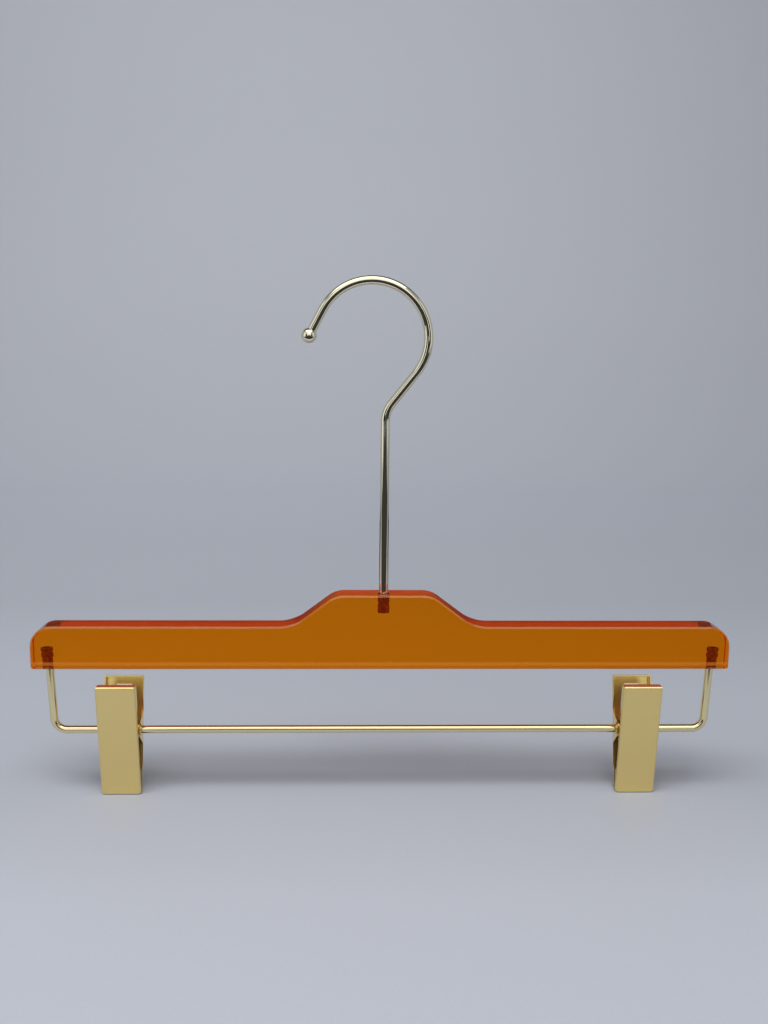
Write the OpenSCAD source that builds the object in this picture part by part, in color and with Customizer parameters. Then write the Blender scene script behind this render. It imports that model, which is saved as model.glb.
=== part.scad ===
// Trouser hanger: a clear amber beam with a swivelling wire hook, and a wire bar
// below it that carries two sliding spring clips.
// Millimetres. The origin is the seat of the hook on a rail, at the top of the
// inside of its arc. +X runs along the beam, -Y is the front, +Z is up.

/* [Beam] */
// Length of the beam
beam_l = 350; // [300:1:450]
// Thickness of the acrylic sheet
beam_t = 12.7; // [10:0.1:16]
// Height of the arms
arm_h = 22; // [18:0.5:30]
// Height of the crown above the arms
crown_rise = 16; // [12:0.5:24]
// Width of the flat top of the crown between its two slopes
crown_top_w = 48; // [36:1:80]
// Slope of the crown's flanks, in degrees
crown_slope = 37; // [30:1:50]
// Radius where the crown's top turns down
crown_top_r = 12; // [4:1:14]
// Radius where the crown's flank meets the arm
crown_foot_r = 20; // [8:1:22]
// Radius of the upper end corners
end_r = 11; // [4:0.5:14]
// Radius of the lower end corners
lower_r = 1.2; // [0.5:0.1:3]

/* [Hook] */
// Diameter of the hook wire
hook_d = 4.5; // [4:0.1:5]
// Radius of the arc, to the middle of the wire
hook_r = 27; // [24:0.5:34]
// Height of the rail seat above the top of the crown
hook_rise = 150.5; // [120:0.5:180]
// Distance of the stem from the middle of the arc
stem_offset = 6.6; // [3:0.2:9]
// Angle of the straight run from the stem to the arc, in degrees
neck_angle = 38.4; // [32:0.2:46]
// Radius of the bend at the top of the stem
neck_r = 14; // [8:1:18]
// Angle at which the arc ends, in degrees from +X
arc_end = 152; // [140:1:170]
// Straight length from the arc to the middle of the ball
tail_l = 13.5; // [9:0.5:20]
// Diameter of the ball on the tip
ball_d = 7.5; // [6.5:0.1:10]
// Depth of the blind hole in the ball
ball_hole = 3; // [2:0.1:3.4]

/* [Hook socket] */
// Outer diameter of the socket's knurled bands
socket_d = 5.8; // [5.6:0.1:8]
// Length of the socket
socket_l = 9.5; // [8:0.5:14]
// Width of the groove between the two bands
socket_groove_w = 1.3; // [0.8:0.1:2]
// Depth of the groove
socket_groove = 0.25; // [0.1:0.05:0.3]
// Diameter of the spigot on the stem's end
spigot_d = 3; // [2.4:0.1:3.2]
// Radial running clearance of the spigot
spigot_play = 0.05; // [0.02:0.01:0.1]
// Diameter of the counterbore for the lock collar
pocket_d = 4.6; // [4.5:0.1:4.8]
// Outer diameter of the lock collar
collar_d = 4.2; // [3.9:0.1:4.3]
// Height of the lock collar
collar_h = 1.8; // [1.2:0.1:2.4]
// End play of the stem in its socket
collar_play = 0.1; // [0.05:0.05:0.3]
// Width of the countersink at the mouth of the crown's hole
mouth_chamfer = 0.6; // [0.3:0.1:1]
// Room below the socket in its hole
hole_spare = 0.9; // [0.5:0.1:2]
// Room below the lock collar in the socket
pocket_spare = 0.4; // [0.2:0.1:1]

/* [Trouser bar] */
// Diameter of the bar wire
bar_d = 4; // [3.5:0.1:4.2]
// Distance from the beam's end to the middle of each leg, at the underside
leg_inset = 7.7; // [7:0.1:12]
// Clearance between the beam and the jaws when a clip turns over on the bar
swing_gap = 0.5; // [0.3:0.1:12]
// Radius of the bends, to the middle of the wire
bar_r = 6.2; // [5:0.2:10]
// Lean of the legs, in degrees, with their tops outwards
leg_lean = 2; // [0:0.1:2.4]
// Length of each leg's end inside its socket
leg_in = 9; // [6:0.5:9]
// Outer diameter of the bar sockets' knurled bands
bar_socket_d = 6; // [5.8:0.1:8]
// Outer diameter of the bar sockets' sleeve
bar_sleeve_d = 5.2; // [5:0.1:5.4]
// Length of the bar sockets
bar_socket_l = 10; // [10:0.5:14]
// Depth of the bar sockets' mouths inside the beam's underside
bar_socket_in = 0.3; // [0.2:0.1:1]
// Height of each knurled band of the bar sockets
bar_band_h = 1.9; // [1.2:0.1:2.4]
// Width of the groove between the bands of the bar sockets
bar_groove_w = 1; // [0.6:0.1:1.6]
// Depth of the drilled hole above each bar socket
bar_hole_spare = 2; // [1:0.1:3]

/* [Clips] */
// Distance of the left clip from the left leg
left_clip_in = 33.1; // [18:0.1:140]
// Distance of the right clip from the right leg
right_clip_in = 35.1; // [18:0.1:140]
// Swing of the clips about the bar as stored, in degrees, with their tops to the back
clip_swing = 4; // [0:0.5:8]
// Width of each jaw
jaw_w = 20; // [18:0.5:30]
// Thickness of the sheet steel
sheet = 0.8; // [0.6:0.05:1]
// Length of the jaw plate above the pivot, along the plate
handle_l = 26.8; // [25:0.1:28]
// Length of the jaw plate below the pivot, along the plate
bite_l = 32.4; // [31:0.1:32.8]
// Distance from the pivot to the outer face of each plate
stand_off = 8; // [7.6:0.1:8.2]
// Lean of each plate from the upright with the jaws shut, in degrees
plate_lean = 9.5; // [8.5:0.1:9.8]
// Radius of the plate's corners
plate_r = 1.3; // [1.2:0.1:3]
// Outside radius of the folds
fold_r = 1.2; // [1.1:0.1:1.6]
// Depth of the folded edge round the handle
handle_edge = 3.5; // [2.5:0.1:3.8]
// Depth of the folded edge beside the bite
bite_edge = 1.7; // [1.6:0.1:2.2]
// Radius of the ears round the pivot
ear_r = 4.1; // [3.8:0.1:4.5]
// Angle of the ears' flanks, in degrees from their middle line
ear_flank = 30; // [26:1:34]
// Height above the pivot where the handle's edge starts to deepen
handle_edge_foot = 10.8; // [10:0.1:12]
// Height above the pivot where the handle's edge has its full depth
handle_edge_top = 15.5; // [14:0.1:18]
// Side clearance between the ears of the two jaws
ear_gap = 0.3; // [0.2:0.05:0.6]
// Length of the lips, along the plate
lip_l = 10.2; // [8:0.2:12]
// Length of the step from the bite's edge down to the lip's
lip_step = 3; // [2:0.1:4]
// Distance of the lips' folded edges from the closing plane
lip_back = 0.7; // [0.5:0.1:1]

/* [Clip inner parts] */
// Outer diameter of the pivot tube
tube_d = 4.8; // [4.7:0.05:5]
// Radial clearance of the bar in the pivot tube
tube_slide = 0.1; // [0.05:0.01:0.1]
// Radial running clearance of the ears on the pivot tube
ear_play = 0.05; // [0.02:0.01:0.1]
// Diameter of the rolled heads of the pivot tube
head_d = 6.4; // [6:0.1:7]
// Thickness of the rolled heads
head_t = 0.4; // [0.3:0.05:0.6]
// End play of the ears between the heads
head_play = 0.15; // [0.1:0.05:0.3]
// Width of the spring strip
spring_w = 8; // [6:0.5:12]
// Thickness of the spring strip
spring_t = 0.5; // [0.4:0.05:0.7]
// Inside radius of the spring's bend round the pivot
spring_r = 3; // [2.9:0.1:3.4]
// Distance of the spring's tips below the tops of the handles
spring_short = 4.6; // [4:0.1:8]
// Clearance of the spring's tips from the handles
spring_gap = 0.1; // [0.05:0.05:0.3]
// Clearance of the pads from the closing plane
pad_gap = 0.1; // [0.05:0.05:0.3]
// Clearance of the pads from the folded edges beside them
pad_side = 0.2; // [0.1:0.05:0.5]
// Distance of the pads' ends from the ends of the plates
pad_in = 0.4; // [0.2:0.1:1]
// Number of grip grooves across each pad
pad_grooves = 4; // [2:1:6]
// Depth of the grip grooves
pad_groove = 0.4; // [0.2:0.1:0.6]

/* [Hidden] */
$fn = 64;

// Length by which a cutting shape runs past the face that it cuts
past = 1;
// How far the seam between two lengths of a wire stands proud of it
seam = 0.01;

// Heights, from the rail seat down
arc_z = hook_d / 2 - hook_r;
crown_z = -hook_rise;
arm_z = crown_z - crown_rise;
foot_z = arm_z - arm_h;
bar_drop = norm([stand_off, bite_l]) + swing_gap;
bar_z = foot_z - bar_drop;

// Outline of the beam
crown_run = crown_rise / tan(crown_slope);
half_l = beam_l / 2;

// The hook's centre line
arc_start = [hook_r * cos(neck_angle), arc_z - hook_r * sin(neck_angle)];
run_to_stem = (arc_start[0] - stem_offset) / sin(neck_angle);
neck_tangent = neck_r * tan(neck_angle / 2);
run_l = run_to_stem - neck_tangent;
neck_z = arc_start[1] - run_to_stem * cos(neck_angle) - neck_tangent;
tail_dir = [-sin(arc_end), cos(arc_end)];
arc_tip = [hook_r * cos(arc_end), arc_z + hook_r * sin(arc_end)];
ball_at = arc_tip + tail_l * tail_dir;
tail_to_bore = tail_l - sqrt(pow(ball_d / 2, 2) - pow(hook_d / 2, 2)) + ball_hole;

// The hook's socket and the spigot in it
shoulder_z = crown_z + collar_play / 2;
pocket_h = collar_h + collar_play + pocket_spare;
collar_z = crown_z - socket_l + pocket_h - collar_play / 2 - collar_h;
socket_hole = socket_l + hole_spare;

// The trouser bar
leg_dir = [sin(leg_lean), cos(leg_lean)];
leg_to_foot = bar_drop / cos(leg_lean);
bar_half = half_l - leg_inset - leg_to_foot * sin(leg_lean);
bend_angle = 90 - leg_lean;
bend_tangent = bar_r * tan(bend_angle / 2);
bar_hole = bar_socket_in + bar_socket_l + bar_hole_spare;

// The jaws, seen from the side with the pivot at the origin
plate_in = stand_off - sheet;
ear_hole_r = tube_d / 2 + ear_play;
ear_apex = ear_r / sin(ear_flank);
inner_ear_x = jaw_w / 2 - sheet - ear_gap;
lip_top = lip_l - bite_l;

// The spring's front tip and where its arm leaves the bend, in the side view
spring_out = spring_r + spring_t;
spring_tip = leaned([spring_gap - plate_in, handle_l - spring_short]);
spring_from = atan2(spring_tip[1], spring_tip[0]) + acos(spring_out / norm(spring_tip));

function unit(v) = v / norm(v);

// A front jaw's point in the side view, once the jaw leans as it does when shut
function leaned(p) = [
  p[0] * cos(plate_lean) - p[1] * sin(plate_lean),
  p[0] * sin(plate_lean) + p[1] * cos(plate_lean)
];

// Where the closing plane lies in a front jaw's side view, at a height u
function closing(u, gap) = [u * tan(plate_lean) - gap / cos(plate_lean), u];

// Points of a rounded corner at p1, on the way from p0 to p2
function corner(p0, p1, p2, r, n = 10) =
  let (
    d0 = unit(p0 - p1),
    d2 = unit(p2 - p1),
    half = acos(d0 * d2) / 2,
    start = p1 + d0 * r / tan(half),
    mid = p1 + unit(d0 + d2) * r / sin(half),
    a0 = atan2(start[1] - mid[1], start[0] - mid[0]),
    turn = 180 - 2 * half,
    side = d2[0] * d0[1] - d2[1] * d0[0] > 0 ? 1 : -1
  )
  [for (i = [0 : n]) mid + r * [cos(a0 + side * turn * i / n), sin(a0 + side * turn * i / n)]];

// An outline given as [x, y, radius] corners
function rounded(c) = [
  for (i = [0 : len(c) - 1])
    let (
      p0 = c[(i + len(c) - 1) % len(c)],
      p1 = c[i],
      p2 = c[(i + 1) % len(c)]
    )
    each (p1[2] == 0
      ? [[p1[0], p1[1]]]
      : corner([p0[0], p0[1]], [p1[0], p1[1]], [p2[0], p2[1]], p1[2]))
];

// Stands a flat outline up across the beam: its x stays, its y becomes z
module along_y(depth) {
  rotate([90, 0, 0])
    linear_extrude(height = depth, center = true)
      children();
}

// Sweeps a side view along the beam: its x becomes y, its y becomes z
module along_x(depth) {
  rotate([90, 0, 90])
    linear_extrude(height = depth, center = true)
      children();
}

// A wire of the hook or the bar, from a point in the XZ plane along a direction
module wire(at, dir, l, d) {
  translate([at[0], 0, at[1]])
    rotate([0, atan2(dir[0], dir[1]), 0])
      cylinder(h = l, d = d);
}

// A bend of wire round a centre in the XZ plane, from angle a0 over angle turn,
// with the seams at its two ends
module bend(at, r, d, a0, turn) {
  translate([at[0], 0, at[1]])
    rotate([90, 0, 0]) {
      rotate([0, 0, a0])
        rotate_extrude(angle = turn)
          translate([r, 0])
            circle(d = d, $fn = 32);
      for (a = [a0, a0 + turn])
        rotate([0, 0, a])
          translate([r, 0, 0])
            rotate([90, 0, 0])
              sphere(d = d + 2 * seam);
    }
}

module beam_outline() {
  polygon(rounded([
    [-half_l, foot_z, lower_r],
    [half_l, foot_z, lower_r],
    [half_l, arm_z, end_r],
    [crown_top_w / 2 + crown_run, arm_z, crown_foot_r],
    [crown_top_w / 2, crown_z, crown_top_r],
    [-crown_top_w / 2, crown_z, crown_top_r],
    [-crown_top_w / 2 - crown_run, arm_z, crown_foot_r],
    [-half_l, arm_z, end_r]
  ]));
}

// Places its children on the axis of the right bar leg, at the beam's underside
module at_leg() {
  translate([bar_half, 0, bar_z])
    rotate([0, leg_lean, 0])
      translate([0, 0, leg_to_foot])
        children();
}

module both_sides() {
  children();
  mirror([1, 0, 0]) children();
}

module beam() {
  color([0.72, 0.38, 0.04, 0.65])
    translate([stem_offset, 0, 0])
      difference() {
        along_y(beam_t) beam_outline();
        translate([0, 0, crown_z - socket_hole])
          cylinder(h = socket_hole + past, d = socket_d);
        translate([0, 0, crown_z - mouth_chamfer])
          cylinder(h = 2 * mouth_chamfer, d1 = socket_d, d2 = socket_d + 4 * mouth_chamfer);
        both_sides()
          at_leg()
            translate([0, 0, -past])
              cylinder(h = bar_hole + past, d = bar_socket_d);
      }
}

module hook_wire() {
  color([0.80, 0.76, 0.62]) {
    translate([stem_offset, 0, collar_z])
      cylinder(h = shoulder_z - collar_z, d = spigot_d);
    wire([stem_offset, shoulder_z], [0, 1], neck_z - shoulder_z, hook_d);
    bend([stem_offset + neck_r, neck_z], neck_r, hook_d, 180 - neck_angle, neck_angle);
    wire(arc_start, -[sin(neck_angle), cos(neck_angle)], run_l, hook_d);
    bend([0, arc_z], hook_r, hook_d, -neck_angle, neck_angle + arc_end);
    wire(arc_tip, tail_dir, tail_to_bore, hook_d);
  }
}

module hook_ball_tip() {
  color([0.80, 0.74, 0.55])
    difference() {
      translate([ball_at[0], 0, ball_at[1]])
        sphere(d = ball_d);
      wire(arc_tip, tail_dir, tail_to_bore, hook_d);
    }
}

module hook_socket() {
  color([0.66, 0.50, 0.26])
    translate([stem_offset, 0, crown_z - socket_l])
      difference() {
        cylinder(h = socket_l, d = socket_d);
        translate([0, 0, (socket_l - socket_groove_w) / 2])
          difference() {
            cylinder(h = socket_groove_w, d = socket_d + past);
            translate([0, 0, -past])
              cylinder(h = socket_groove_w + 2 * past, d = socket_d - 2 * socket_groove);
          }
        translate([0, 0, -past])
          cylinder(h = socket_l + 2 * past, d = spigot_d + 2 * spigot_play);
        translate([0, 0, -past])
          cylinder(h = pocket_h + past, d = pocket_d);
      }
}

module hook_lock_collar() {
  color([0.70, 0.56, 0.30])
    translate([stem_offset, 0, collar_z])
      difference() {
        cylinder(h = collar_h, d = collar_d);
        translate([0, 0, -past])
          cylinder(h = collar_h + 2 * past, d = spigot_d);
      }
}

module bar_socket() {
  band_step = bar_band_h + bar_groove_w;
  color([0.66, 0.50, 0.26])
    at_leg()
      difference() {
        translate([0, 0, bar_socket_in]) {
          cylinder(h = bar_socket_l, d = bar_sleeve_d);
          for (band = [0, 1])
            translate([0, 0, bar_socket_l - bar_band_h - band * band_step])
              cylinder(h = bar_band_h, d = bar_socket_d);
        }
        translate([0, 0, -past])
          cylinder(h = leg_in + past, d = bar_d);
      }
}

module left_bar_socket() {
  translate([stem_offset, 0, 0])
    mirror([1, 0, 0])
      bar_socket();
}

module right_bar_socket() {
  translate([stem_offset, 0, 0])
    bar_socket();
}

module trouser_bar() {
  bend_mid = [bar_half - bend_tangent, bar_z + bar_r];
  color([0.76, 0.68, 0.48])
    translate([stem_offset, 0, 0]) {
      rotate([0, 90, 0])
        translate([-bar_z, 0, -bend_mid[0]])
          cylinder(h = 2 * bend_mid[0], d = bar_d);
      both_sides() {
        bend(bend_mid, bar_r, bar_d, -90, bend_angle);
        wire([bar_half, bar_z] + bend_tangent * leg_dir, leg_dir,
          leg_to_foot - bend_tangent + leg_in, bar_d);
      }
    }
}

// Puts a clip part, drawn round the pivot, on the bar
module on_bar(side) {
  clip_x = side < 0 ? left_clip_in - bar_half : bar_half - right_clip_in;
  translate([stem_offset + clip_x, 0, bar_z])
    rotate([-clip_swing, 0, 0])
      children();
}

// Leans a front jaw's part so that the lips meet at the closing plane
module lean() {
  rotate([plate_lean, 0, 0])
    children();
}

// A block with the rounded folds of a jaw, open at the back and the bottom
module folded_block(w, face, top, corner_r, r, open_at) {
  intersection() {
    along_y(4 * stand_off)
      polygon(rounded([
        [-w / 2, open_at, corner_r],
        [w / 2, open_at, corner_r],
        [w / 2, top, corner_r],
        [-w / 2, top, corner_r]
      ]));
    translate([0, 0, open_at - past])
      linear_extrude(height = top - open_at + 2 * past)
        polygon(rounded([
          [-w / 2, -face, r],
          [w / 2, -face, r],
          [w / 2, stand_off, 0],
          [-w / 2, stand_off, 0]
        ]));
    along_x(w + 2 * past)
      polygon(rounded([
        [-face, open_at - past, 0],
        [stand_off, open_at - past, 0],
        [stand_off, top, 0],
        [-face, top, r]
      ]));
  }
}

// Side view of what the folded edges keep, with an ear round the pivot or without
module jaw_side(eared) {
  bite_v = bite_edge - stand_off;
  handle_v = handle_edge - stand_off;
  ear_root = (ear_apex - bite_v) * tan(ear_flank);
  lip_low = closing(-bite_l - past, lip_back);
  lip_high = closing(lip_top, lip_back);
  polygon(rounded(concat(
    [
      [-stand_off - past, -bite_l - past, 0],
      [lip_low[0], lip_low[1], 0],
      [lip_high[0], lip_high[1], 1],
      [bite_v, lip_top + lip_step, 1]
    ],
    eared ? [
      [bite_v, -ear_root, 2],
      [ear_apex, 0, ear_r],
      [bite_v, ear_root, 1]
    ] : [],
    [
      [bite_v, handle_edge_foot, 2],
      [handle_v, handle_edge_top, 2],
      [handle_v, handle_l + past, 0],
      [-stand_off - past, handle_l + past, 0]
    ]
  )));
}

// The pressed shell of a front jaw, upright, without its inner ears
module jaw_shell(eared) {
  intersection() {
    difference() {
      folded_block(jaw_w, stand_off, handle_l, plate_r, fold_r, -bite_l);
      folded_block(jaw_w - 2 * sheet, plate_in, handle_l - sheet,
        plate_r - sheet, fold_r - sheet, -bite_l - 2 * past);
    }
    along_x(jaw_w + 2 * past)
      jaw_side(eared);
  }
}

module pivot_hole() {
  rotate([0, 90, 0])
    cylinder(h = jaw_w + 2 * past, r = ear_hole_r, center = true);
}

module front_jaw() {
  root_v = sheet / 2 - stand_off;
  root_u = (ear_apex - root_v) * tan(ear_flank);
  color([0.72, 0.65, 0.44])
    lean()
      difference() {
        union() {
          jaw_shell(false);
          for (side = [-1, 1])
            translate([side * (inner_ear_x - sheet / 2), 0, 0])
              along_x(sheet)
                polygon(rounded([
                  [root_v, -root_u, 0],
                  [ear_apex, 0, ear_r],
                  [root_v, root_u, 0]
                ]));
        }
        pivot_hole();
      }
}

module back_jaw() {
  color([0.68, 0.60, 0.38])
    mirror([0, 1, 0])
      lean()
        difference() {
          jaw_shell(true);
          pivot_hole();
        }
}

// A moulded pad with grip grooves across its face
module front_pad() {
  low = -bite_l + pad_in;
  high = lip_top - pad_in;
  pitch = (high - low) / pad_grooves;
  color([0.28, 0.24, 0.20])
    lean()
      along_x(jaw_w - 2 * sheet - 2 * pad_side)
        polygon(concat(
          [[-plate_in, low], closing(low, pad_gap)],
          [
            for (i = [0 : pad_grooves - 1], end = [-1, 0, 1])
              closing(low + pitch * (i + 0.5) + end * pad_groove,
                pad_gap + (end == 0 ? pad_groove : 0))
          ],
          [closing(high, pad_gap), [-plate_in, high]]
        ));
}

module back_pad() {
  mirror([0, 1, 0])
    front_pad();
}

module pivot_tube() {
  head_x = jaw_w / 2 + head_play;
  color([0.62, 0.55, 0.36])
    rotate([0, 90, 0])
      difference() {
        union() {
          cylinder(h = 2 * head_x, d = tube_d, center = true);
          for (side = [-1, 1])
            translate([0, 0, side * (head_x + head_t / 2)])
              cylinder(h = head_t, d = head_d, center = true);
        }
        cylinder(h = 2 * (head_x + head_t + past), r = bar_d / 2 + tube_slide, center = true);
      }
}

// A flat strip bent round the pivot, with two arms that press the handles apart
module spring() {
  steps = 12;
  bend_way = [
    for (i = [0 : steps])
      let (a = 270 + (spring_from - 270) * i / steps)
      [cos(a), sin(a)]
  ];
  color([0.70, 0.68, 0.62])
    for (side = [0, 1])
      mirror([0, side, 0])
        along_x(spring_w)
          polygon([
            for (way = bend_way) spring_out * way,
            spring_tip,
            spring_tip - spring_t * bend_way[steps],
            for (i = [steps : -1 : 0]) spring_r * bend_way[i]
          ]);
}

module left_clip_pivot_tube() { on_bar(-1) pivot_tube(); }
module left_clip_back_jaw() { on_bar(-1) back_jaw(); }
module left_clip_front_jaw() { on_bar(-1) front_jaw(); }
module left_clip_spring() { on_bar(-1) spring(); }
module left_clip_back_pad() { on_bar(-1) back_pad(); }
module left_clip_front_pad() { on_bar(-1) front_pad(); }
module right_clip_pivot_tube() { on_bar(1) pivot_tube(); }
module right_clip_back_jaw() { on_bar(1) back_jaw(); }
module right_clip_front_jaw() { on_bar(1) front_jaw(); }
module right_clip_spring() { on_bar(1) spring(); }
module right_clip_back_pad() { on_bar(1) back_pad(); }
module right_clip_front_pad() { on_bar(1) front_pad(); }

beam();
hook_wire();
hook_ball_tip();
hook_socket();
hook_lock_collar();
left_bar_socket();
right_bar_socket();
trouser_bar();
left_clip_pivot_tube();
left_clip_back_jaw();
left_clip_front_jaw();
left_clip_spring();
left_clip_back_pad();
left_clip_front_pad();
right_clip_pivot_tube();
right_clip_back_jaw();
right_clip_front_jaw();
right_clip_spring();
right_clip_back_pad();
right_clip_front_pad();
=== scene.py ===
import math

import bmesh
import bpy
from mathutils import Matrix, Vector


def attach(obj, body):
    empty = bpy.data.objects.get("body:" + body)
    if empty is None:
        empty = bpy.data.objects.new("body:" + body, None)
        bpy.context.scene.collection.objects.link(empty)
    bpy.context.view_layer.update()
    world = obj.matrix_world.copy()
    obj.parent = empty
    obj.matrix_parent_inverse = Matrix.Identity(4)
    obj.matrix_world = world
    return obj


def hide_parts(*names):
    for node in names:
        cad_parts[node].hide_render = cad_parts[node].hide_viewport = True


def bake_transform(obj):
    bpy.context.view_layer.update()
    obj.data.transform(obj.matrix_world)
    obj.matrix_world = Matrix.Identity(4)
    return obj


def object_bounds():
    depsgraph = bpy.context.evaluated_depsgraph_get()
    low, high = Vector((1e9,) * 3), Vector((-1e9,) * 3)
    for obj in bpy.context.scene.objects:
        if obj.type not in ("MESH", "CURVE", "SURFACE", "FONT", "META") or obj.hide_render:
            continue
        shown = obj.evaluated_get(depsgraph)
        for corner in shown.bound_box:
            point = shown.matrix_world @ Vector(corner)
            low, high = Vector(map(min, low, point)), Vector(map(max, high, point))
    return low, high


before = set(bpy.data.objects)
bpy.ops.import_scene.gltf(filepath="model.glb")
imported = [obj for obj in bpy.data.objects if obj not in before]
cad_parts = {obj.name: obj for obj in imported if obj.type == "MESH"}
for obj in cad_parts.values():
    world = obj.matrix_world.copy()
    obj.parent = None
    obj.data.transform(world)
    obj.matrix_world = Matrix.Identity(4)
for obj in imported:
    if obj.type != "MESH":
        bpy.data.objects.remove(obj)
cad_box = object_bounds()


# The beam is one piece of clear amber acrylic sheet, half an inch thick. It is sawn to shape, and its
# edges are rounded and polished. The hole for the hook's stem has a countersunk mouth in its crown.
class Socket:
    """A socket of a finish, on which arithmetic adds Math nodes."""

    def __init__(self, tree, out):
        self.tree, self.out = tree, out

    def node(self, kind, settings, inputs, out=0):
        """Adds a node with its settings and the values or links of its sockets."""
        made = self.tree.nodes.new(kind)
        for key, value in settings.items():
            if key == "stops":
                ramp = made.color_ramp
                while len(ramp.elements) < len(value):
                    ramp.elements.new(0.5)
                for stop, (at, shade) in zip(ramp.elements, value, strict=True):
                    stop.position, stop.color = at, (shade, shade, shade, 1)
            else:
                setattr(made, key, value)
        for key, value in inputs.items():
            if isinstance(value, Socket):
                self.tree.links.new(value.out, made.inputs[key])
            else:
                made.inputs[key].default_value = value
        return Socket(self.tree, made.outputs[out])

    def feed(self, node, key):
        """Links the socket to an input of a node that is there from the start."""
        self.tree.links.new(self.out, self.tree.nodes[node].inputs[key])

    def math(self, operation, a, b=0.0):
        return self.node("ShaderNodeMath", {"operation": operation}, {0: a, 1: b})

    def __abs__(self):
        return self.math("ABSOLUTE", self)

    def __add__(self, other):
        return self.math("ADD", self, other)

    def __radd__(self, other):
        return self.math("ADD", other, self)

    def __sub__(self, other):
        return self.math("SUBTRACT", self, other)

    def __rsub__(self, other):
        return self.math("SUBTRACT", other, self)

    def __mul__(self, other):
        return self.math("MULTIPLY", self, other)

    def __rmul__(self, other):
        return self.math("MULTIPLY", other, self)


def new_finish(name, settings):
    """A material with its all-over settings, its shader's socket, and the place in the object."""
    material = bpy.data.materials.new(name)
    material.use_nodes = True
    tree = material.node_tree
    shader = Socket(tree, tree.nodes["Principled BSDF"].outputs[0])
    for key, value in settings.items():
        shader.out.node.inputs[key].default_value = value
    return material, shader, shader.node("ShaderNodeTexCoord", {}, {}, "Object")


def noise(place, scale, stretch=(1, 1, 1), detail=3.0):
    """A noise from 0 to 1 with so many lumps a metre, stretched along an axis to make it lines."""
    at = place.node("ShaderNodeVectorMath", {"operation": "MULTIPLY"}, {0: place, 1: stretch})
    return place.node("ShaderNodeTexNoise", {}, {"Vector": at, "Scale": scale, "Detail": detail})


def ranged(value, low, high, start=0.3, end=0.7):
    """Brings a value between start and end to one between low and high."""
    ends = {"From Min": start, "From Max": end, "To Min": low, "To Max": high}
    return value.node("ShaderNodeMapRange", {}, {"Value": value, **ends})


def along(axis, vector):
    """How far a vector reaches along an axis."""
    return vector.node("ShaderNodeSeparateXYZ", {}, {"Vector": vector}, axis)


def wired(place, links, height=None, depth=0.00001):
    """Links what varies over a finish to its shader, and a height as a bump so many metres deep."""
    if height:
        bump = {"Height": height, "Strength": 1, "Distance": depth}
        links = {**links, "Normal": place.node("ShaderNodeBump", {}, bump)}
    for key, value in links.items():
        value.feed("Principled BSDF", key)


def new_piece(name, bm, finish):
    """Makes a shape drawn in millimetres a piece of the scene, smooth but for its sharp edges."""
    bmesh.ops.scale(bm, verts=bm.verts, vec=(0.001, 0.001, 0.001))
    mesh = bpy.data.meshes.new(name)
    bm.to_mesh(mesh)
    bm.free()
    mesh.materials.append(finish)
    mesh.shade_smooth()
    mesh.set_sharp_from_angle(angle=math.radians(35))
    piece = bpy.data.objects.new(name, mesh)
    bpy.context.scene.collection.objects.link(piece)
    return piece


def extruded(bm, edges, move, widen=1.0):
    """Pulls a loop of edges on by a vector, widens it about its middle, and returns the new loop."""
    made = bmesh.ops.extrude_edge_only(bm, edges=edges)["geom"]
    verts = [v for v in made if isinstance(v, bmesh.types.BMVert)]
    bmesh.ops.translate(bm, verts=verts, vec=move)
    middle = sum((v.co for v in verts), Vector()) / len(verts)
    at = Matrix.Translation(-middle)
    bmesh.ops.scale(bm, verts=verts, vec=(widen, widen, widen), space=at)
    return [e for e in made if isinstance(e, bmesh.types.BMEdge) and all(v in verts for v in e.verts)]


beam_l, beam_t, arris = 350, 12.7, 0.8
crown_top_w, crown_slope = 48, 37
foot_z, arm_z, crown_z, stem_x = -188.5, -166.5, -150.5, 6.6
foot_r, end_r, valley_r, crown_r = 1.2, 11, 20, 12
mouth_r, mouth_foot_r, mouth_depth = 3.5, 2.88, 0.6
crown_run = (crown_z - arm_z) / math.tan(math.radians(crown_slope))
half_outline = [
    (beam_l / 2, foot_z, foot_r, 90),
    (beam_l / 2, arm_z, end_r, 90),
    (crown_top_w / 2 + crown_run, arm_z, valley_r, crown_slope),
    (crown_top_w / 2, crown_z, crown_r, crown_slope),
]
bm = bmesh.new()
corners = []
for side in (1, -1):
    for x, z, radius, turn in half_outline[::side]:
        corner = bm.verts.new((stem_x + side * x, -beam_t / 2, z))
        corners.append((corner, radius * math.tan(math.radians(turn / 2))))
bm.faces.new([corner for corner, _ in corners])
rounding = {"profile": 0.5, "material": -1}
for corner, offset in corners:
    bmesh.ops.bevel(bm, geom=[corner], offset=offset, affect="VERTICES", segments=12, **rounding)
back_face = bmesh.ops.extrude_face_region(bm, geom=bm.faces[:])["geom"]
back_verts = [v for v in back_face if isinstance(v, bmesh.types.BMVert)]
bmesh.ops.translate(bm, verts=back_verts, vec=(0, beam_t, 0))
arrises = [
    e
    for e in bm.edges
    if abs(e.verts[0].co.y - e.verts[1].co.y) < 0.01
    and not all(v.co.y > 0 and v.co.z < foot_z + 0.01 for v in e.verts)
]
bmesh.ops.bevel(bm, geom=arrises, offset=arris, affect="EDGES", segments=1, **rounding)
crown_top = [f for f in bm.faces if all(abs(v.co.z - crown_z) < 0.01 for v in f.verts)]
rim = [e for e in bm.edges if any(f in crown_top for f in e.link_faces)]
bmesh.ops.delete(bm, geom=crown_top, context="FACES_ONLY")
at = Matrix.Translation((stem_x, 0, crown_z))
ring = bmesh.ops.create_circle(bm, segments=48, radius=mouth_r, matrix=at)["verts"]
mouth = [e for e in bm.edges if all(v in ring for v in e.verts)]
bmesh.ops.triangle_fill(bm, edges=[*rim, *mouth], use_beauty=True)
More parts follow.
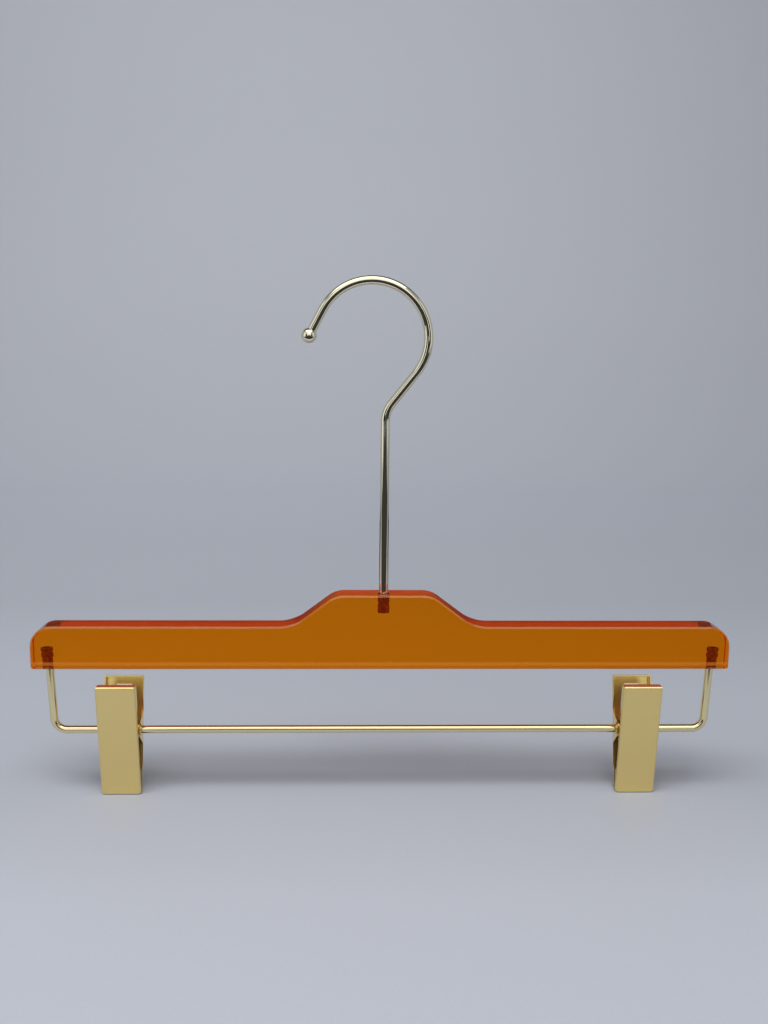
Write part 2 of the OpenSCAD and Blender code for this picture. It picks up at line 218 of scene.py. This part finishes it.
mouth = extruded(bm, mouth, (0, 0, -mouth_depth), mouth_foot_r / mouth_r)
bmesh.ops.edgeloop_fill(bm, edges=extruded(bm, mouth, (0, 0, -0.1), 0.85))
bmesh.ops.recalc_face_normals(bm, faces=bm.faces)

# The acrylic takes the blue and most of the green out of the light. A weak orange emission in its
# volume is a painted glow. A matt orange share on its cut edges, rising to the crown, is painted glow,
# and a matt orange line along the foot of its front face is a painted highlight.
amber_acrylic, clear, place = new_finish(
    "amber_acrylic",
    {"Base Color": (1, 1, 1, 1), "Roughness": 0.0, "IOR": 1.49, "Transmission Weight": 1},
)
wired(place, {"Roughness": ranged(noise(place, 500, detail=5), 0, 0.03)})
# A matt orange shader mixed into the cut edges, more towards the crown, paints the glow of light caught in
# them.
painted_glow_amber = {"Base Color": (0.90, 0.27, 0.02, 1), "Roughness": 0.5}
painted_glow_matt = place.node("ShaderNodeBsdfPrincipled", {}, painted_glow_amber)
facing = along("Y", place.node("ShaderNodeNewGeometry", {}, {}, "True Normal"))
depth, height = along("Y", place), along("Z", place)
edge_glow_share = ranged(height, 0.02, 0.16, (arm_z + 2) / 1000, (crown_z - 2) / 1000)
# A matt orange line along the foot of the front face, on the front only, is a painted highlight.
line_z, line_half_w = (foot_z + 2.9) / 1000, 0.0009
painted_foot_highlight = height.node("ShaderNodeMath", {"operation": "COMPARE"}, {0: height, 1: line_z, 2: line_half_w})
painted_foot_highlight = painted_foot_highlight * facing.math("LESS_THAN", depth)
on_face = ranged(abs(facing), 0, 1, 0.8, 0.95)
painted_light_share = place.node("ShaderNodeMix", {}, {"Factor": on_face, 2: edge_glow_share, 3: 0.4 * painted_foot_highlight})
surface = place.node("ShaderNodeMixShader", {}, {"Fac": painted_light_share, 1: clear, 2: painted_glow_matt})
surface.feed("Material Output", "Surface")
amber = {"Color": (0.977, 0.775, 0.0, 1), "Density": 457}
tint = place.node("ShaderNodeVolumeAbsorption", {}, amber)
# A weak orange emission through the volume is a painted glow, not a lamp.
painted_inner_glow = place.node("ShaderNodeEmission", {}, {"Color": (1.0, 0.33, 0.0, 1), "Strength": 5.2})
inside = place.node("ShaderNodeAddShader", {}, {0: tint, 1: painted_inner_glow})
inside.feed("Material Output", "Volume")
beam = new_piece("beam_clear", bm, amber_acrylic)
beam.modifiers.new("flat faces", "WEIGHTED_NORMAL").keep_sharp = True
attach(beam, "hanger")
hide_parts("beam")

# The hook is one length of polished pale gold steel wire, bent to a round hook with a short straight
# tail. A drilled ball is pressed on the tail's end, and the stem's foot turns in the crown's socket.
hook_d, hook_r, neck_angle, neck_r = 4.5, 27, math.radians(38.4), 14
arc_end, tail_l, ball_at, ball_r = math.radians(152), 12, 13.5, 3.75
spigot_d, spigot_z, stem_foot = 3.0, crown_z - 9.15, crown_z + 0.05
arc_z = hook_d / 2 - hook_r
arc_start = Vector((hook_r * math.cos(neck_angle), 0, arc_z - hook_r * math.sin(neck_angle)))
run_to_stem = (arc_start.x - stem_x) / math.sin(neck_angle)
neck_tangent = neck_r * math.tan(neck_angle / 2)
neck_z = arc_start.z - run_to_stem * math.cos(neck_angle) - neck_tangent
run = Vector((math.sin(neck_angle), 0, math.cos(neck_angle)))
tail = Vector((-math.sin(arc_end), 0, math.cos(arc_end)))
arc_tip = Vector((hook_r * math.cos(arc_end), 0, arc_z + hook_r * math.sin(arc_end)))


def bent_wire(diameter, foot, lean, moves):
    """A wire from its foot on, each move a straight run, a widening, or a bend's middle and angle."""
    bm = bmesh.new()
    turn = Matrix.Translation(foot) @ Matrix.Rotation(lean, 4, "Y")
    bmesh.ops.create_circle(bm, cap_ends=True, segments=32, radius=diameter / 2, matrix=turn)
    end = bm.edges[:]
    for move in moves:
        if isinstance(move, Vector):
            end = extruded(bm, end, move)
        elif isinstance(move, float):
            end = extruded(bm, end, (0, 0, 0), move)
        else:
            middle, angle = move
            bend = {"cent": middle, "axis": (0, 1, 0), "angle": angle}
            steps = math.ceil(abs(math.degrees(angle)) / 3)
            last = bmesh.ops.spin(bm, geom=end, steps=steps, **bend)["geom_last"]
            end = [e for e in last if isinstance(e, bmesh.types.BMEdge)]
    bmesh.ops.edgeloop_fill(bm, edges=end)
    bmesh.ops.recalc_face_normals(bm, faces=bm.faces)
    return bm


polished_gold, _, place = new_finish(
    "polished_gold_wire", {"Base Color": (0.88, 0.82, 0.61, 1), "Metallic": 1}
)
smudges = ranged(noise(place, 90, detail=6), 0.05, 0.10)
wired(place, {"Roughness": smudges}, noise(place, 900), 0.000004)
bm = bent_wire(
    spigot_d,
    (stem_x, 0, spigot_z),
    0,
    [
        Vector((0, 0, stem_foot - spigot_z)),
        hook_d / spigot_d,
        Vector((0, 0, neck_z - stem_foot)),
        (Vector((stem_x + neck_r, 0, neck_z)), neck_angle),
        run * (run_to_stem - neck_tangent),
        (Vector((0, 0, arc_z)), -neck_angle - arc_end),
        tail * tail_l,
    ],
)
hook = new_piece("hook_wire_bent", bm, polished_gold)
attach(hook, "hook")
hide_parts("hook_wire")
bm = bmesh.new()
at = Matrix.Translation(arc_tip + ball_at * tail) @ Matrix.Rotation(math.pi / 2 - arc_end, 4, "Y")
bmesh.ops.create_uvsphere(bm, u_segments=48, v_segments=32, radius=ball_r, matrix=at)
ball = new_piece("hook_ball", bm, polished_gold)
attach(ball, "hook")
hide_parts("hook_ball_tip")

# The trouser bar is one length of the same gold-plated wire, thinner, with both ends bent up into
# legs. They lean out a little, and are pressed into the sockets in the underside of the beam.
bar_d, bar_r, bar_z = 4, 6.2, -222.373
leg_lean, leg_x, leg_in_beam = math.radians(2), beam_l / 2 - 7.7, 9
leg_to_foot = (foot_z - bar_z) / math.cos(leg_lean)
bar_half = leg_x - leg_to_foot * math.sin(leg_lean)
bend_angle = math.pi / 2 - leg_lean
bend_tangent = bar_r * math.tan(bend_angle / 2)
leg_l = leg_to_foot + leg_in_beam
leg = {side: Vector((side * math.sin(leg_lean), 0, math.cos(leg_lean))) for side in (1, -1)}
bend_x = bar_half - bend_tangent
bends = {side: Vector((stem_x + side * bend_x, 0, bar_z + bar_r)) for side in (1, -1)}
bm = bent_wire(
    bar_d,
    Vector((stem_x + bar_half, 0, bar_z)) + leg_l * leg[1],
    leg_lean,
    [
        -(leg_l - bend_tangent) * leg[1],
        (bends[1], bend_angle),
        bends[-1] - bends[1],
        (bends[-1], bend_angle),
        (leg_l - bend_tangent) * leg[-1],
    ],
)
plated_gold, _, place = new_finish(
    "plated_gold_bar", {"Base Color": (0.86, 0.74, 0.43, 1), "Metallic": 1}
)
drawn = noise(place, 2500, (0.02, 1, 1))
rubbed = ranged(noise(place, 60, detail=6), 0.10, 0.16)
wired(place, {"Roughness": rubbed}, drawn, 0.000006)
bar = new_piece("trouser_bar_bent", bm, plated_gold)
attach(bar, "hanger")
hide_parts("trouser_bar")

# Three knurled brass sockets are pressed into the holes in the beam and show through it: one in the
# crown, where the hook's foot turns, and one round the top of each of the bar's legs.
insert_brass, _, place = new_finish("insert_brass", {"Metallic": 1, "Roughness": 0.35})


def blended(share, a, b):
    """A colour from a to b by a share."""
    ends = {"Factor": share, 6: (*a, 1), 7: (*b, 1)}
    return share.node("ShaderNodeMix", {"data_type": "RGBA"}, ends, 2)


# The brass is coloured a dark red, far darker than brass, as painted shade for the dim light it gets
# inside the beam; a noise mottles it between two such tones.
mottled_painted_shade = blended(ranged(noise(place, 700, detail=5), 0, 1), (0.45, 0.10, 0.05), (0.22, 0.04, 0.02))
wired(place, {"Base Color": mottled_painted_shade}, noise(place, 3000), 0.00001)


def turned(rings, knurled=None, steps=72, knurl=0.16):
    """A ring-shaped piece turned to radius and height rings, with a knurl on the bands of one radius."""
    bm = bmesh.new()
    radius, height = rings[-1]
    at = Matrix.Translation((0, 0, height))
    bmesh.ops.create_circle(bm, segments=steps, radius=radius, matrix=at)
    end = bm.edges[:]
    for next_radius, next_height in rings:
        end = extruded(bm, end, (0, 0, next_height - height), next_radius / radius)
        radius, height = next_radius, next_height
    bmesh.ops.remove_doubles(bm, verts=bm.verts, dist=0.001)
    if knurled:
        sunk = [
            v
            for v in bm.verts
            if abs(math.hypot(v.co.x, v.co.y) - knurled) < 0.001
            and round(math.atan2(v.co.y, v.co.x) * steps / math.tau) % 2
        ]
        share = 1 - knurl / knurled
        bmesh.ops.scale(bm, verts=sunk, vec=(share, share, 1))
    bmesh.ops.recalc_face_normals(bm, faces=bm.faces)
    return bm


band_r, groove_r, pocket_r, bore_r, pocket_l, socket_l = 2.9, 2.65, 2.3, 1.6, 2.3, 9.5
bm = turned(
    [
        (pocket_r, 0.0),
        (band_r, 0.0),
        (band_r, 4.1),
        (groove_r, 4.1),
        (groove_r, 5.4),
        (band_r, 5.4),
        (band_r, socket_l),
        (bore_r, socket_l),
        (bore_r, pocket_l),
        (pocket_r, pocket_l),
    ],
    band_r,
)
bmesh.ops.translate(bm, verts=bm.verts, vec=(stem_x, 0, crown_z - socket_l))
socket = new_piece("hook_socket_knurled", bm, insert_brass)
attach(socket, "hanger")
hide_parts("hook_socket")
band_r, body_r, bore_r, socket_foot, socket_top = 3.0, 2.6, 2.02, 0.3, 10.3
for side, name in ((-1, "left"), (1, "right")):
    bm = turned(
        [
            (bore_r, socket_foot),
            (body_r, socket_foot),
            (body_r, 5.5),
            (band_r, 5.5),
            (band_r, 7.4),
            (body_r, 7.4),
            (body_r, 8.4),
            (band_r, 8.4),
            (band_r, socket_top),
            (bore_r, socket_top),
        ],
        band_r,
    )
    at = Matrix.Translation((stem_x + side * leg_x, 0, foot_z))
    at = at @ Matrix.Rotation(side * leg_lean, 4, "Y")
    bmesh.ops.transform(bm, matrix=at, verts=bm.verts)
    socket = new_piece(name + "_bar_socket_knurled", bm, insert_brass)
    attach(socket, "hanger")
    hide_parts(name + "_bar_socket")
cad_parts["hook_lock_collar"].data.materials[0] = insert_brass

# Each clip is two pressed steel jaws with a satin gold finish, folded over at the top and sides. They
# turn on a tube round the bar, and have a bent spring strip inside and a rubber pad in each lip.
satin_gold, _, place = new_finish(
    "satin_gold_steel", {"Base Color": (0.93, 0.72, 0.29, 1), "Metallic": 1}
)
grain = noise(place, 5000, (1, 1, 0.06))
handled = ranged(noise(place, 45, detail=2), 0.20, 0.25, 0.1, 0.9)
wired(place, {"Roughness": handled + 0.03 * grain}, grain, 0.000002)
spring_steel, _, place = new_finish(
    "spring_steel", {"Base Color": (0.75, 0.68, 0.50, 1), "Metallic": 1}
)
rolled = noise(place, 6000, (1, 0.04, 0.04))
wired(place, {"Roughness": ranged(rolled, 0.2, 0.32)}, rolled, 0.000003)
pad_rubber, _, place = new_finish("pad_rubber", {"Roughness": 0.7})
bloom = ranged(noise(place, 300, detail=6), 0, 1)
worn = blended(bloom, (0.16, 0.115, 0.085), (0.11, 0.08, 0.06))
wired(place, {"Base Color": worn}, noise(place, 4000), 0.00003)


def rounded_copy(name, node, finish, edge):
    """A piece with the shape of a CAD node, whose cut edges are rounded by so many metres."""
    bm = bmesh.new()
    bm.from_mesh(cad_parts[node].data)
    bmesh.ops.remove_doubles(bm, verts=bm.verts, dist=0.000002)
    bmesh.ops.scale(bm, verts=bm.verts, vec=(1000, 1000, 1000))
    bmesh.ops.dissolve_limit(bm, angle_limit=math.radians(0.5), verts=bm.verts, edges=bm.edges)
    piece = new_piece(name, bm, finish)
    bevel = piece.modifiers.new("rounded edges", "BEVEL")
    bevel.width, bevel.segments, bevel.limit_method = edge, 2, "ANGLE"
    bevel.angle_limit = math.radians(40)
    piece.modifiers.new("flat faces", "WEIGHTED_NORMAL").keep_sharp = True
    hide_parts(node)
    return piece


clip_x = {"left": stem_x - bar_half + 33.1, "right": stem_x + bar_half - 35.1}
tube_head = [(2.1, 10.5), (2.9, 10.55), (3.15, 10.42), (3.2, 10.3), (3.1, 10.17), (2.4, 10.15)]
tube_rings = [(radius, -height) for radius, height in tube_head] + tube_head[::-1]
for clip, at_x in clip_x.items():
    for part in ("back", "front"):
        node = f"{clip}_clip_{part}_jaw"
        jaw = rounded_copy(node + "_pressed", node, satin_gold, 0.0001)
        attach(jaw, f"{clip}_clip_{part}")
        node = f"{clip}_clip_{part}_pad"
        grip = rounded_copy(node + "_moulded", node, pad_rubber, 0.00015)
        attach(grip, f"{clip}_clip_{part}")
    node = f"{clip}_clip_spring"
    spring = rounded_copy(node + "_bent", node, spring_steel, 0.00008)
    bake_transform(spring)
    bm = turned(tube_rings)
    at = Matrix.Translation((at_x, 0, bar_z)) @ Matrix.Rotation(math.pi / 2, 4, "Y")
    bmesh.ops.transform(bm, matrix=at, verts=bm.verts)
    tube = new_piece(f"{clip}_clip_tube_rolled", bm, satin_gold)
    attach(tube, f"{clip}_clip_carrier")
    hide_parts(f"{clip}_clip_pivot_tube")

# The studio is a sheet of pale grey-blue paper that curves up behind the hanger. Large soft lamps
# overhead, in front and at the sides light it. Dark cards round it, seen only in reflections, are
# painted dark reflections for the metal to mirror.
backdrop = (0.36, 0.38, 0.42, 1)
floor_z = cad_box[0][2] * 1000 - 0.05


def flat_sheet(half_w, half_l, turn, at):
    """A flat sheet, turned about its width and put in its place."""
    bm = bmesh.new()
    place = Matrix.Translation(at) @ Matrix.Rotation(math.radians(turn), 4, "X")
    place = place @ Matrix.Diagonal((half_w, half_l, 1, 1))
    bmesh.ops.create_grid(bm, x_segments=1, y_segments=1, size=1, matrix=place)
    return bm


def looked_at(place):
    """One for a ray from the camera, off a gloss or through the acrylic, and nought for the rest."""
    straight, mirrored, through = (
        place.node("ShaderNodeLightPath", {}, {}, f"Is {ray} Ray")
        for ray in ("Camera", "Glossy", "Transmission")
    )
    return place.math("MAXIMUM", straight, place.math("MAXIMUM", mirrored, through))


paper, lit, place = new_finish("paper", {"Roughness": 0.55})
across, inward, height = along("X", place), along("Y", place), along("Z", place)
# The paper's grey and tint are graded along the sweep as painted light and shade: darkest on the floor
# round and behind the hanger, lighter up the wall, and bluer on the floor than on the wall.
fade = (inward + height + (0.2 - floor_z / 1000)) * 0.4
stops = [
    (0.04, 0.60),
    (0.075, 0.522),
    (0.13, 0.56),
    (0.228, 0.553),
    (0.328, 0.65),
    (0.435, 0.79),
    (0.755, 0.89),
    (1, 0.90),
]
painted_falloff_tone = place.node("ShaderNodeValToRGB", {"stops": stops}, {"Fac": fade})
fibres = ranged(noise(place, 900, detail=5), 0.985, 1.015)
painted_falloff_tint = blended(ranged(fade, 0, 1, 0.2, 0.9), (0.835, 0.88, 0.985), (0.83, 0.855, 0.925))
shaded = {0: painted_falloff_tint, "Scale": painted_falloff_tone * fibres}
shade = place.node("ShaderNodeVectorMath", {"operation": "SCALE"}, shaded)
wired(place, {"Base Color": shade}, noise(place, 2000), 0.00003)
outward = across.math("MAXIMUM", abs(across), 0 - inward)
far = looked_at(place) * ranged(outward, 0, 1, 0.9, 1.7)
pale = place.node("ShaderNodeEmission", {}, {"Color": backdrop})
surface = place.node("ShaderNodeMixShader", {}, {"Fac": far, 1: lit, 2: pale})
surface.feed("Material Output", "Surface")
bm = flat_sheet(3000, 1400, 0, (0, -500, floor_z))
far_edge = [e for e in bm.edges if all(v.co.y > 800 for v in e.verts)]
curve = {"cent": (0, 900, floor_z + 600), "axis": (1, 0, 0), "angle": math.pi / 2}
last = bmesh.ops.spin(bm, geom=far_edge, steps=32, **curve)["geom_last"]
extruded(bm, [e for e in last if isinstance(e, bmesh.types.BMEdge)], (0, 0, 2000))
new_piece("sweep", bm, paper)

# These dark cards are seen only in reflections: painted dark reflections.
for name, half_w, half_l, turn, at, grey in (
    ("card_front", 900, 800, 0, (0, -985, floor_z + 1), 0.015),
    ("card_behind", 190, 22, 90, (stem_x, 50, -146), 0.05),
    ("card_before", 2600, 450, -90, (0, -1950, floor_z + 450), 0.03),
    ("card_above", 3000, 650, 180, (0, 900, 2400), 0.03),
):
    dark = {"Base Color": (grey, grey, grey, 1), "Roughness": 1.0}
    card_paper, lit, place = new_finish(name, dark)
    at_back = place.node("ShaderNodeNewGeometry", {}, {}, "Backfacing")
    none = place.node("ShaderNodeBsdfTransparent", {}, {})
    surface = place.node("ShaderNodeMixShader", {}, {"Fac": at_back, 1: lit, 2: none})
    surface.feed("Material Output", "Surface")
    card = new_piece(name, flat_sheet(half_w, half_l, turn, at), card_paper)
    card.visible_camera = card.visible_transmission = False
    card.visible_diffuse = card.visible_shadow = False

world = bpy.data.worlds.new("studio")
bpy.context.scene.world = world
world.use_nodes = True
room = Socket(world.node_tree, world.node_tree.nodes["Background"].outputs[0])
room.out.node.inputs["Color"].default_value = (0.032, 0.034, 0.038, 1)
pale = room.node("ShaderNodeBackground", {}, {"Color": backdrop})
surround = room.node("ShaderNodeMixShader", {}, {"Fac": looked_at(room), 1: room, 2: pale})
surround.feed("World Output", "Surface")


def softbox(name, at, aim, width, height, watts, unseen=""):
    """A rectangular lamp that shines from one point to another, unseen by some kinds of rays."""
    lamp = bpy.data.lights.new(name, "AREA")
    lamp.shape = "RECTANGLE"
    lamp.size, lamp.size_y, lamp.energy = width, height, watts
    box = bpy.data.objects.new(name, lamp)
    turn = (Vector(aim) - Vector(at)).to_track_quat("-Z", "Y").to_matrix().to_4x4()
    box.matrix_world = Matrix.Translation(at) @ turn
    for rays in unseen.split():
        setattr(box, "visible_" + rays, False)
    bpy.context.scene.collection.objects.link(box)


softbox("overhead", (-0.25, -0.55, 1.25), (-0.05, 0.03, -0.25), 1.2, 0.7, 16, "glossy transmission")
softbox("ceiling", (-0.1, -0.46, 1.35), (0, 0, -0.1), 2.2, 1.1, 10, "transmission")
softbox("front", (0, -1.6, 0.83), (0, 0, 0.1), 1.7, 1.34, 6, "transmission")
softbox("low_left", (-0.62, -1.85, 0.07), (-0.13, 0, -0.2), 0.35, 0.3, 0.35)
softbox("low_right", (0.74, -1.85, 0.07), (0.14, 0, -0.2), 0.35, 0.3, 0.35)
softbox("left", (-1.2, -0.5, 0.1), (0, 0, -0.12), 0.7, 1.4, 1.6)
softbox("right", (1.2, -0.5, 0.1), (0, 0, -0.12), 0.5, 1.4, 0.8)
bpy.context.scene.view_settings.view_transform = "Standard"

# The camera stands where the photograph's did, half a metre before the hanger and a little above it.
# Its angles are in degrees, and its focal length is in pixels of a picture 1024 high.
turn, rise, roll, reach, focal = 1.826, 10.392, 0.580, 0.5, 1013.86
target = Vector((0.00643, 0, -0.10938))
turn, rise, roll = math.radians(turn), math.radians(rise), math.radians(roll)
level_back = Vector((-math.sin(turn), -math.cos(turn), 0))
back = level_back * math.cos(rise) + Vector((0, 0, math.sin(rise)))
level = Vector((math.cos(turn), -math.sin(turn), 0))
above = back.cross(level)
right = level * math.cos(roll) + above * math.sin(roll)
upward = above * math.cos(roll) - level * math.sin(roll)
camera_data = bpy.data.cameras.new("camera")
camera_data.sensor_width = 36
camera_data.lens = focal / 1024 * camera_data.sensor_width
camera = bpy.data.objects.new("camera", camera_data)
axes = Matrix((right, upward, back)).transposed().to_4x4()
camera.matrix_world = Matrix.Translation(target + back * reach) @ axes
bpy.context.scene.collection.objects.link(camera)
bpy.context.scene.camera = camera
